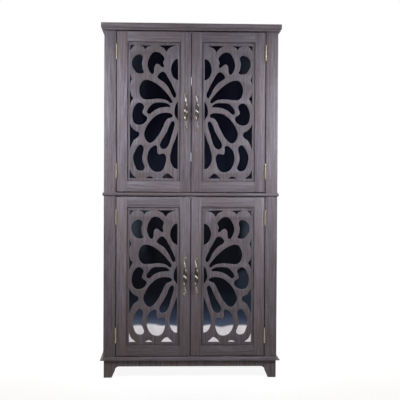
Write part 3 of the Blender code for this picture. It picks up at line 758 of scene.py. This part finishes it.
def strand(phase):
    """One of the two strands: it changes sides at the middle and comes halfway round by each stem."""
    points = []
    for step in range(STRAND_POINTS):
        share = 2 * step / (STRAND_POINTS - 1) - 1
        height = share * TWIST_LENGTH / 2
        turn = phase - QUARTER_TURN * (math.tanh(height / CROSSING_REACH) + share * abs(share))
        spread = TWIST_RADIUS * (1 - share ** CLOSING_POWER)
        place = pull_centre(height) + spread * Vector((math.cos(turn), math.sin(turn), 0))
        points.append((place, STRAND_RADIUS))
    return rod(points)


def core():
    """The core that the strands are wound on, drawn in at both ends."""
    points = []
    for step in range(STRAND_POINTS):
        share = 2 * step / (STRAND_POINTS - 1) - 1
        radius = CORE_RADIUS + (CORE_END_RADIUS - CORE_RADIUS) * share ** CORE_POWER
        points.append((pull_centre(share * TWIST_LENGTH / 2), radius))
    return rod(points)


def stem(end):
    """The bowed end that runs from the twist to a foot."""
    root = TWIST_LENGTH / 2 - STEM_RADIUS
    points = []
    for step in range(STEM_POINTS):
        share = step / (STEM_POINTS - 1)
        height = end * (root + share * (PULL_CENTRES / 2 - root))
        points.append((pull_centre(height), STEM_RADIUS + (TIP_RADIUS - STEM_RADIUS) * share ** 2))
    return rod(points)


rods = [strand(-QUARTER_TURN), strand(QUARTER_TURN), core(), stem(1), stem(-1)]
print("Rods:", len(rods))

# %% Make its feet
FOOT_RADIUS = 7 * MM
FOOT_RIM = FOOT_RADIUS * 0.35
FOOT_RISE = FOOT_FLANGE * 0.5
FOOT_SIDES = 48


def foot(end):
    """The round foot of a pull, with its rim turned down to the door."""
    middle = (0, -SEAT_GAP - FOOT_FLANGE / 2, end * PULL_CENTRES / 2)
    bpy.ops.mesh.primitive_cylinder_add(
        vertices=FOOT_SIDES, radius=FOOT_RADIUS, depth=FOOT_FLANGE,
        location=middle, rotation=(QUARTER_TURN, 0, 0))
    made = bpy.context.object
    bpy.ops.object.transform_apply()
    pick_faces(made, lambda face: face.normal.y < FRONT_NORMAL)
    bpy.ops.mesh.inset(thickness=FOOT_RIM)
    bpy.ops.transform.translate(value=(0, -FOOT_RISE, 0))
    bpy.ops.object.mode_set(mode="OBJECT")
    return made


feet = [foot(1), foot(-1)]
print("Feet:", len(feet))

# %% Weld the pull
SKIN_VOXEL = 0.5 * MM
SKIN_SMOOTHING = 0.5
SKIN_PASSES = 4

only(rods[0])
for part in rods[1:] + feet:
    part.select_set(True)
bpy.ops.object.join()
pull = bpy.context.object
pull.name = "pull_pattern"
bpy.ops.object.transform_apply()
modify(pull, "REMESH", mode="VOXEL", voxel_size=SKIN_VOXEL)
modify(pull, "SMOOTH", factor=SKIN_SMOOTHING, iterations=SKIN_PASSES)
bpy.ops.object.shade_smooth()
print("Pull faces:", len(pull.data.polygons))

# %% Mark where hands rub it and where highlights and shade are painted
# How bright the brass is drawn, on the twist and the stems at their middle line, and more in front of it:
# partly wear where hands rub it, and partly a painted highlight on the front and painted shade on the parts
# behind.
TWIST_RUBBED_AND_SHINE = (-0.75, 1.5)
STEM_RUBBED_AND_SHINE = (0.38, 0.6)
FOOT_RUBBED_AND_SHINE = 0.5
# The brass is drawn darker where the strands run into a stem.
JOIN_DARK_AT = 38 * MM
JOIN_DARK_REACH = 5 * MM
JOIN_DARK_DEPTH = 0.6


def rubbed(spot):
    """How bright the brass is at a spot, from wear and painted highlight and shade, which may be under 0 or
    over 1.
    """
    away = abs(spot.z)
    if away > PULL_CENTRES / 2 - FOOT_RADIUS:
        return FOOT_RUBBED_AND_SHINE
    level, gain = TWIST_RUBBED_AND_SHINE if away < TWIST_LENGTH / 2 else STEM_RUBBED_AND_SHINE
    forward = (pull_centre(spot.z).y - spot.y) / TWIST_RADIUS
    join_dark = max(0, 1 - abs(away - JOIN_DARK_AT) / JOIN_DARK_REACH)
    return max(0, level + gain * forward) - JOIN_DARK_DEPTH * join_dark


mark = pull.data.attributes.new("rubbed", "FLOAT", "POINT")
mark.data.foreach_set("value", [rubbed(corner.co) for corner in pull.data.vertices])
print("Marked points:", len(mark.data))

# %% Fix a pull to each door
for door in DOORS:
    node = door.replace("_door", "_handle")
    low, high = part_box(node)
    spot = ((low.x + high.x) / 2, DOOR_FACE, (low.z + high.z) / 2)
    fit(new_copy(node + "_pull", pull.data, spot), door, BRASS, [node])
bpy.data.objects.remove(pull)
print("Pulls:", len(DOORS))

# %% [markdown]
# ## The hinges
# A butt hinge is two flat leaves and a barrel. The leaf on the post has the outer and middle knuckles and
# holds the pin; the leaf on the door has the two knuckles between, bored to turn on it. One of each is
# modelled at the origin, with the pin along Z, by joining boxes and cylinders with Boolean modifiers. The
# left doors get the same two leaves, mirrored. Each leaf has three slotted screws, which an open door shows.

# %% Make the satin brass finish
BRUSH_MM = 1.2
ROUGH_SPREAD = 0.08


def speckled(name, size_mm, dark, light, roughness, metallic):
    """A fine-grained finish that wanders between two tones, with a matching roughness."""
    finish, tree, place = new_finish(name)
    grain = noise(tree, place, size_mm, 3.0)
    stops = [(NOISE_LOW, linear(dark)), (NOISE_HIGH, linear(light))]
    colour = add_node(tree, "ValToRGB", {"Fac": grain}, stops)
    rough = remap(tree, grain, NOISE_LOW, NOISE_HIGH, roughness + ROUGH_SPREAD, roughness - ROUGH_SPREAD)
    bump = add_node(tree, "Bump", {"Height": grain, "Strength": 0.2, "Distance": 0.1 * MM})
    give_look(tree, {"Base Color": colour, "Roughness": rough, "Normal": bump, "Metallic": metallic})
    return finish


# Brass plating on pressed steel, lacquered: paler and more even than the cast pulls.
SATIN_BRASS = speckled("satin_brass_plating", BRUSH_MM, "#8d8570", "#b8af98", 0.42, 1.0)
print("Finish:", SATIN_BRASS.name)

# %% Measure the hinges
BARREL_RADIUS = 3.5 * MM

post_leaf_low, post_leaf_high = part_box("upper_right_top_hinge_post_leaf")
HINGE_LENGTH = post_leaf_high.z - post_leaf_low.z
LEAF_TAIL = post_leaf_high.y - post_leaf_low.y - BARREL_RADIUS
print("Hinge length:", round(HINGE_LENGTH / MM), "mm")

# %% Model the two hinge leaves
PIN_RADIUS = 1.6 * MM
BORE_RADIUS = 2.0 * MM
KNUCKLES = 5
KNUCKLE_PLAY = 0.15 * MM
LEAF_PLAY = 0.4 * MM
LEAF_THICK = 1.3 * MM
LEAF_ROOT = 4.1 * MM
SCREW_RADIUS = 2.2 * MM
SCREW_PROUD = 0.15 * MM
SCREW_SLOT = 0.7 * MM
# The outer screws stand this far to either side, and this share of the way to the leaf's ends.
SCREW_STAGGER = 3 * MM
SCREW_SHARE = 0.68
HINGE_EASE = 0.2 * MM
ROUND_SIDES = 32


def add_round(radius, low, high):
    """An upright cylinder between two heights."""
    bpy.ops.mesh.primitive_cylinder_add(
        vertices=ROUND_SIDES, radius=radius, depth=high - low, location=(0, 0, (low + high) / 2))
    bpy.ops.object.transform_apply()
    return bpy.context.object


def leaf_screw(face, inward, along, height):
    """A screw head with a slot, let into one face of a leaf."""
    sink = LEAF_THICK / 2
    bpy.ops.mesh.primitive_cylinder_add(
        vertices=ROUND_SIDES, radius=SCREW_RADIUS, depth=sink + SCREW_PROUD,
        location=(face + inward * (sink - SCREW_PROUD) / 2, along, height), rotation=(0, QUARTER_TURN, 0))
    head = bpy.context.object
    bpy.ops.object.transform_apply()
    ease_edges(head, HINGE_EASE / 2)
    low = (face - SCREW_PROUD * 2, along - SCREW_SLOT / 2, height - SCREW_RADIUS * 2)
    high = (face + SCREW_PROUD * 2, along + SCREW_SLOT / 2, height + SCREW_RADIUS * 2)
    combine(head, add_box("slot_tool", low, high), "DIFFERENCE")
    return head


def hinge_leaf(name, side, first_knuckle):
    """A leaf on the +X side (1) or the -X side (-1) of its pin, with every second knuckle."""
    near, far = sorted((side * LEAF_PLAY, side * (LEAF_PLAY + LEAF_THICK)))
    half = HINGE_LENGTH / 2
    leaf = add_box(name, (near, LEAF_ROOT, -half), (far, LEAF_TAIL, half))
    step = HINGE_LENGTH / KNUCKLES
    for knuckle in range(first_knuckle, KNUCKLES, 2):
        low = -half + knuckle * step + KNUCKLE_PLAY
        high = low + step - 2 * KNUCKLE_PLAY
        barrel = add_round(BARREL_RADIUS, low, high)
        finger = add_box("finger", (near, BORE_RADIUS, low), (far, LEAF_ROOT + LEAF_THICK, high))
        combine(barrel, finger)
        combine(leaf, barrel)
    if first_knuckle:
        combine(leaf, add_round(BORE_RADIUS, -half, half), "DIFFERENCE")
    else:
        combine(leaf, add_round(PIN_RADIUS, -half, half))
    ease_edges(leaf, HINGE_EASE)
    middle = (LEAF_ROOT + LEAF_TAIL) / 2
    screws = []
    for turn in (-1, 0, 1):
        along = middle + turn * SCREW_STAGGER
        screws.append(leaf_screw(side * LEAF_PLAY, side, along, turn * half * SCREW_SHARE))
    only(leaf)
    for screw in screws:
        screw.select_set(True)
    bpy.ops.object.join()
    return leaf


leaves = {"post_leaf": hinge_leaf("post_leaf", 1, 0), "door_leaf": hinge_leaf("door_leaf", -1, 1)}
print("Leaf faces:", {name: len(leaf.data.polygons) for name, leaf in leaves.items()})

# %% Fix the hinges to the posts and doors
for node in sorted(node for node in SLOT_OF if node.endswith("_leaf")):
    low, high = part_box(node)
    pattern = leaves[node[-len("post_leaf"):]]
    piece = new_copy(node + "_brass", pattern.data)
    if "_left_" in node:
        piece.data.transform(Matrix.Scale(-1, 4, (1, 0, 0)))
        piece.data.flip_normals()
    spot = ((low.x + high.x) / 2, low.y + BARREL_RADIUS, (low.z + high.z) / 2)
    piece.data.transform(Matrix.Translation(spot))
    fit(piece, body_of(node), SATIN_BRASS, [node])
for pattern in leaves.values():
    bpy.data.objects.remove(pattern)
print("Hinge leaves placed")

# %% [markdown]
# ## Catches, strike plates and buffers
# Inside, behind the meeting stiles, a double magnetic catch holds each pair of doors: a plated steel case
# with a magnet between two pole plates for each door. A thin strike plate on each door meets it. Two small
# white buffers sit in the gap between the upper doors, where they show as light dashes from the front.

# %% Make the steel, ferrite and nylon finishes
PLATING_MM = 0.8
GRIT_MM = 1.5

# Zinc plating is a soft grey metal, ferrite a dull black ceramic, and moulded nylon a satin off-white.
STEEL = speckled("zinc_plated_steel", PLATING_MM, "#8d9093", "#b5b8ba", 0.36, 1.0)
FERRITE = speckled("ferrite_magnet", GRIT_MM, "#1b1a1a", "#2d2b2b", 0.7, 0.0)
NYLON = speckled("white_nylon", GRIT_MM, "#cfcbd0", "#e6e3e6", 0.45, 0.0)
print("Finishes:", STEEL.name, FERRITE.name, NYLON.name)

# %% Make the catches and their strike plates
STRIKE_WIDTH = 16 * MM
STRIKE_HEIGHT = 22 * MM
STRIKE_THICK = 1.0 * MM
STRIKE_INSET = 5 * MM
STRIKE_MARGIN = 1.5 * MM
CASE_WALL = 1.2 * MM
CATCH_SETBACK = 1.4 * MM
MAGNET_WIDTH = 15 * MM
MAGNET_HEIGHT = 8 * MM
MAGNET_DEPTH = 5 * MM
POLE_THICK = 1.2 * MM
POLE_PROUD = 0.3 * MM
SMALL_EASE = 0.4 * MM

for tier in ("lower", "upper"):
    node = tier + "_catch"
    low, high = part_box(node)
    front = low.y + CATCH_SETBACK
    case = add_box(node + "_case", (low.x, front, low.z), high)
    level = low.z + CASE_WALL + MAGNET_HEIGHT / 2
    for side, turn in (("left", -1), ("right", 1)):
        centre = turn * (high.x - low.x) / 4
        corner = Vector((MAGNET_WIDTH / 2, 0, MAGNET_HEIGHT / 2))
        middle = Vector((centre, front, level))
        reach = Vector((0, MAGNET_DEPTH, 0))
        combine(case, add_box("pocket", middle - corner - reach, middle + corner + reach), "DIFFERENCE")
        inner = corner - Vector((POLE_PROUD, 0, POLE_THICK))
        magnet = add_box(node + "_magnet_" + side, middle - inner, middle + inner + reach)
        ease_edges(magnet, SMALL_EASE / 2)
        fit(magnet, "carcass", FERRITE)
        for name, edge in (("_upper_pole_", 1), ("_lower_pole_", -1)):
            rim = level + edge * MAGNET_HEIGHT / 2
            back = rim - edge * POLE_THICK
            pole = add_box(
                node + name + side,
                (centre - inner.x, front - POLE_PROUD, min(rim, back)),
                (centre + inner.x, front + MAGNET_DEPTH, max(rim, back)))
            ease_edges(pole, SMALL_EASE / 2)
            fit(pole, "carcass", STEEL)
        stile_low, stile_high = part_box(tier + "_" + side + "_meeting_stile")
        near = turn * (min(abs(stile_low.x), abs(stile_high.x)) + STRIKE_INSET)
        across = sorted((near, near + turn * STRIKE_WIDTH))
        top = stile_high.z - STRIKE_MARGIN
        strike = add_box(
            tier + "_" + side + "_strike_plate",
            (across[0], stile_high.y, top - STRIKE_HEIGHT),
            (across[1], stile_high.y + STRIKE_THICK, top))
        ease_edges(strike, SMALL_EASE)
        fit(strike, tier + "_" + side + "_door", STEEL)
    ease_edges(case, SMALL_EASE)
    fit(case, "carcass", STEEL, [node])
print("Catches: 2")

# %% Make the buffers between the upper doors
BUFFER_LENGTH = 38 * MM
BUFFER_HEIGHTS = (1000 * MM, 1341 * MM)
BUFFER_THICK = 3.3 * MM
BUFFER_SETBACK = 0.2 * MM
BUFFER_DEPTH = 10 * MM

edge_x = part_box("upper_left_meeting_stile")[1].x
for name, height in zip(("lower", "higher"), BUFFER_HEIGHTS):
    buffer = add_box(
        name + "_door_buffer",
        (edge_x, DOOR_FACE + BUFFER_SETBACK, height - BUFFER_LENGTH / 2),
        (edge_x + BUFFER_THICK, DOOR_FACE + BUFFER_SETBACK + BUFFER_DEPTH, height + BUFFER_LENGTH / 2))
    ease_edges(buffer, 2 * SMALL_EASE, 3)
    fit(buffer, "upper_left_door", NYLON)
print("Buffers:", len(BUFFER_HEIGHTS))

# %% [markdown]
# ## The studio
# The cabinet stands on a pale floor with white all round it. The floor and the world look white to the camera
# and in reflections, but light the object only weakly. Two soft lamps do that from the front, one on each
# side, so that they fall outside what the mirrors show, and two more light the back. A strip lamp near the
# camera shows in shiny things alone, and gives the pulls their highlights. The mirrors face the dark end of
# the studio. Two cards that only reflections can see stand for it: its far wall, with a curtain at either
# side, and the dark part of its floor, with something pale on the right.

# %% Lay the floor
FLOOR_SIZE = 60
FLOOR_LEVEL = -0.5 * MM
FLOOR_NEAR_WHITE = 0.9
FLOOR_FAR_WHITE = 0.99
FLOOR_FADE_FROM = 0.7
FLOOR_FADE_TO = 3.0
FLOOR_PAPER = "#a8a6a3"
WHITE = "#ffffff"


def seen_directly(tree):
    """1 for rays from the camera, or reflected or passed on towards it, and 0 for light falling on things."""
    path = add_node(tree, "LightPath").outputs
    shown = {0: path["Is Camera Ray"], 1: path["Is Glossy Ray"]}
    either = add_node(tree, "Math", shown, operation="ADD")
    passed = {0: either, 1: path["Is Transmission Ray"]}
    return add_node(tree, "Math", passed, operation="ADD", use_clamp=True)


bpy.ops.mesh.primitive_plane_add(size=FLOOR_SIZE, location=(0, 0, FLOOR_LEVEL))
floor = bpy.context.object
floor.name = "studio_floor"
paper, tree, place = new_finish("white_paper_floor")
lit = add_node(tree, "BsdfDiffuse", {"Color": linear(FLOOR_PAPER)})
away = add_node(tree, "VectorMath", {0: place}, operation="LENGTH").outputs["Value"]
fade = {0: away, 1: FLOOR_FADE_FROM, 2: FLOOR_FADE_TO, 3: FLOOR_NEAR_WHITE, 4: FLOOR_FAR_WHITE}
level = add_node(tree, "MapRange", fade, interpolation_type="SMOOTHSTEP")
glow = add_node(tree, "Math", {0: seen_directly(tree), 1: level}, operation="MULTIPLY")
white = add_node(tree, "Emission", {"Color": linear(WHITE), "Strength": glow})
both = add_node(tree, "AddShader", {0: lit, 1: white})
add_node(tree, "OutputMaterial", {"Surface": both})
floor.data.materials.append(paper)
print("Floor:", FLOOR_SIZE, "m across")

# %% Set the white surroundings
WORLD_LIGHT = 0.08
WORLD_TINT = "#ffe9d8"

world = bpy.data.worlds.new("white_studio")
bpy.context.scene.world = world
world.use_nodes = True
tree = world.node_tree
tree.nodes.clear()
seen = seen_directly(tree)
level = remap(tree, seen, 0.0, 1.0, WORLD_LIGHT, 1.0)
tones = {0: seen, 6: linear(WORLD_TINT), 7: linear(WHITE)}
tint = add_node(tree, "Mix", tones, data_type="RGBA").outputs[2]
sky = add_node(tree, "Background", {"Color": tint, "Strength": level})
add_node(tree, "OutputWorld", {"Surface": sky})
print("World:", world.name)

# %% Lay the dark floor that the mirrors see
CARD_REACH = 9.0
WALL_AT = -5.4
DARK_FROM = DOOR_FACE - 1.44
CARD_LEVEL = 1.5 * MM
# Tones by share of the way from the edge of the white floor to the wall.
FLOOR_TONES = ((0.0, "#ffffff"), (0.02, "#5d677b"), (0.10, "#3a4457"), (0.26, "#20262f"), (0.5, "#15181e"))
# Something pale stands on the floor to the right, beyond a line that slants away from the doors.
PALE_TONE = "#2d3642"
PALE_SLANT = 0.0863
PALE_EDGES = ((0.20, 0.0), (0.25, 1.0))


def reflection_card(name, corners):
    """A flat card that only reflections show, and the tree and coordinates of its paint."""
    bpy.ops.mesh.primitive_plane_add(size=1)
    card = bpy.context.object
    card.name = name
    for corner, place in zip(card.data.vertices, corners):
        corner.co = place
    paint, tree, place = new_finish(name + "_paint")
    card.data.materials.append(paint)
    card.visible_camera = card.visible_diffuse = card.visible_shadow = False
    return tree, place


def paint_along(tree, distance, tones):
    """Paint, or the share of a second paint, that changes along one direction."""
    first, last = tones[0][0], tones[-1][0]
    share = remap(tree, distance, first, last)
    stops = []
    for place, tone in tones:
        colour = linear(tone) if isinstance(tone, str) else (tone, tone, tone, 1)
        stops.append(((place - first) / (last - first), colour))
    return add_node(tree, "ValToRGB", {"Fac": share}, stops)


def show_paint(tree, colour):
    """Let a card show its colour without taking any light."""
    glow = add_node(tree, "Emission", {"Color": colour, "Strength": 1.0})
    add_node(tree, "OutputMaterial", {"Surface": glow})


half = CARD_REACH / 2
corners = [(x, y, CARD_LEVEL) for y in (WALL_AT, DARK_FROM) for x in (-half, half)]
tree, place = reflection_card("dark_floor_card", corners)
axes = add_node(tree, "SeparateXYZ", {0: place}).outputs
depth = remap(tree, axes["Y"], DARK_FROM, WALL_AT)
dark = paint_along(tree, depth, FLOOR_TONES)
across = {0: place, 1: (1, PALE_SLANT, 0)}
slant = add_node(tree, "VectorMath", across, operation="DOT_PRODUCT").outputs["Value"]
beyond = add_node(tree, "Math", {0: slant, 1: PALE_SLANT * DOOR_FACE}, operation="SUBTRACT")
pale = {0: paint_along(tree, beyond, PALE_EDGES), 6: dark, 7: linear(PALE_TONE)}
show_paint(tree, add_node(tree, "Mix", pale, data_type="RGBA", blend_type="LIGHTEN").outputs[2])
print("Dark floor:", round(DARK_FROM - WALL_AT, 2), "m deep")

# %% Hang the far wall that the mirrors see
WALL_HEIGHT = 5.0
# Tones by height in metres.
WALL_TONES = ((0.0, "#131519"), (0.5, "#13151b"), (1.1, "#191d2b"), (1.6, "#11131f"), (2.4, "#10121c"))
# A paler curtain hangs at either side of the wall, and more of it shows low down.
CURTAIN_TONE = "#3f4954"
CURTAIN_EDGES = ((-0.46, 1.0), (-0.27, 0.0), (0.66, 0.0), (0.77, 1.0))
CURTAIN_SHOWS = ((0.06, 0.0), (0.36, 1.0), (0.6, 1.0), (0.9, 0.25), (1.2, 0.05), (1.8, 0.05), (2.1, 0.3))
# The wall itself is dark cloth, whose folds are a noise scaled in X, Y and Z.
FOLD_SCALE = (7, 1, 1.2)
FOLD_RANGE = (0.35, 0.65, 0.7, 1.4)

corners = [(x, WALL_AT, z) for z in (0, WALL_HEIGHT) for x in (-half, half)]
tree, place = reflection_card("far_wall_card", corners)
axes = add_node(tree, "SeparateXYZ", {0: place}).outputs
dark = paint_along(tree, axes["Z"], WALL_TONES)
folds = add_node(tree, "Mapping", {"Vector": place, "Scale": FOLD_SCALE})
cloth = add_node(tree, "TexNoise", {"Vector": folds, "Scale": 1.0, "Detail": 3.0})
shade = remap(tree, cloth, *FOLD_RANGE)
cloth_tone = {0: 1.0, 6: dark, 7: shade}
folded = add_node(tree, "Mix", cloth_tone, data_type="RGBA", blend_type="MULTIPLY").outputs[2]
edges = paint_along(tree, axes["X"], CURTAIN_EDGES)
shows = paint_along(tree, axes["Z"], CURTAIN_SHOWS)
curtain = add_node(tree, "Math", {0: edges, 1: shows}, operation="MULTIPLY")
sides = {0: curtain, 6: folded, 7: linear(CURTAIN_TONE)}
show_paint(tree, add_node(tree, "Mix", sides, data_type="RGBA").outputs[2])
print("Wall:", WALL_HEIGHT, "m high")

# %% Set the lamps
SIDE_SIZE = (0.6, 0.6)
SIDE_SPREAD = math.radians(62)
SIDE_WATTS = 3.8
STRIP_SIZE = (1.2, 0.08)
STRIP_WATTS = 9
BACK_SIZE = (1.2, 1.2)
BACK_WATTS = 16
COOL, WARM = "#e9f0ff", "#fff8f0"
STRIP_LEVEL = 0.79
# Each lamp: its place, the spot that it is aimed at, its size, spread and watts, and its colour.
LAMPS = {
    "left_soft_lamp": (
        (-1.1, -1.45, 1.70), (-0.33, DOOR_FACE, 1.04), SIDE_SIZE, SIDE_SPREAD, SIDE_WATTS, COOL),
    "right_soft_lamp": (
        (1.1, -1.45, 1.60), (0.33, DOOR_FACE, 0.97), SIDE_SIZE, SIDE_SPREAD, SIDE_WATTS, COOL),
    "front_strip_lamp": (
        (0, DOOR_FACE - 4.05, STRIP_LEVEL), (0, 0, STRIP_LEVEL), STRIP_SIZE, math.pi, STRIP_WATTS, WARM),
    "left_back_lamp": ((-1.7, 2.2, 1.7), (0, 0, 0.9), BACK_SIZE, math.pi, BACK_WATTS, WARM),
    "right_back_lamp": ((1.7, 2.2, 1.7), (0, 0, 0.9), BACK_SIZE, math.pi, BACK_WATTS, WARM)}

for name, (spot, aim, size, spread, watts, colour) in LAMPS.items():
    bpy.ops.object.light_add(type="AREA", location=spot)
    lamp = bpy.context.object
    lamp.name = name
    lamp.rotation_euler = (Vector(aim) - Vector(spot)).to_track_quat("-Z", "Y").to_euler()
    lamp.data.shape = "RECTANGLE"
    lamp.data.size, lamp.data.size_y = size
    lamp.data.spread = spread
    lamp.data.energy = watts
    lamp.data.color = linear(colour)[:3]
    lamp.visible_diffuse = "strip" not in name
bpy.context.scene.view_settings.view_transform = "Standard"
print("Lamps:", len(LAMPS))
